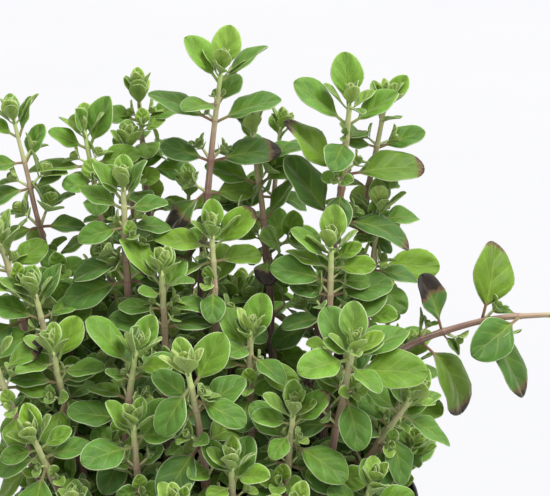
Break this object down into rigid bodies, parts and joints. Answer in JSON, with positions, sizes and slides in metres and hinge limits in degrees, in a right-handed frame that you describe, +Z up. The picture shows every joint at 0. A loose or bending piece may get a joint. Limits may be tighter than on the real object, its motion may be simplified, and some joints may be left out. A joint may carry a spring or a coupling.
{
  "type": "potted marjoram",
  "caption": "Sweet marjoram in a plain tapered nursery pot, with upright square stems, paired oval leaves and one stem running out to the side.",
  "frame": {"origin": "the pot's axis where it meets the surface it stands on", "axes": "+Z up along the pot's axis, -Y towards the front, +X to the right, towards the stem that runs out"},
  "size_m": [0.1894, 0.1298, 0.239],
  "materials": {
    "pot_plastic": "satin",
    "compost": "matte",
    "marjoram_green": "matte"
  },
  "bodies": {
    "root": {"pot": "pot_plastic", "root_ball": "compost", "shoot_01": "marjoram_green", "shoot_02": "marjoram_green", "shoot_03": "marjoram_green", "shoot_04": "marjoram_green", "shoot_05": "marjoram_green", "shoot_06": "marjoram_green", "shoot_07": "marjoram_green", "shoot_08": "marjoram_green", "shoot_09": "marjoram_green", "shoot_10": "marjoram_green", "shoot_11": "marjoram_green", "shoot_12": "marjoram_green", "shoot_13": "marjoram_green", "shoot_14": "marjoram_green", "shoot_15": "marjoram_green", "shoot_16": "marjoram_green", "shoot_17": "marjoram_green", "shoot_18": "marjoram_green", "shoot_19": "marjoram_green", "shoot_20": "marjoram_green", "shoot_21": "marjoram_green", "shoot_22": "marjoram_green", "shoot_23": "marjoram_green", "shoot_24": "marjoram_green", "shoot_25": "marjoram_green", "shoot_26": "marjoram_green", "shoot_27": "marjoram_green", "shoot_28": "marjoram_green", "shoot_29": "marjoram_green", "shoot_30": "marjoram_green", "shoot_31": "marjoram_green", "shoot_32": "marjoram_green", "shoot_33": "marjoram_green", "shoot_34": "marjoram_green", "shoot_35": "marjoram_green", "shoot_36": "marjoram_green", "shoot_37": "marjoram_green", "shoot_38": "marjoram_green", "shoot_39": "marjoram_green", "shoot_40": "marjoram_green", "shoot_41": "marjoram_green", "shoot_42": "marjoram_green", "shoot_43": "marjoram_green", "shoot_44": "marjoram_green", "shoot_45": "marjoram_green", "shoot_46": "marjoram_green", "shoot_47": "marjoram_green", "shoot_48": "marjoram_green", "shoot_49": "marjoram_green", "shoot_50": "marjoram_green", "shoot_51": "marjoram_green", "shoot_52": "marjoram_green"}
  },
  "joints": []
}
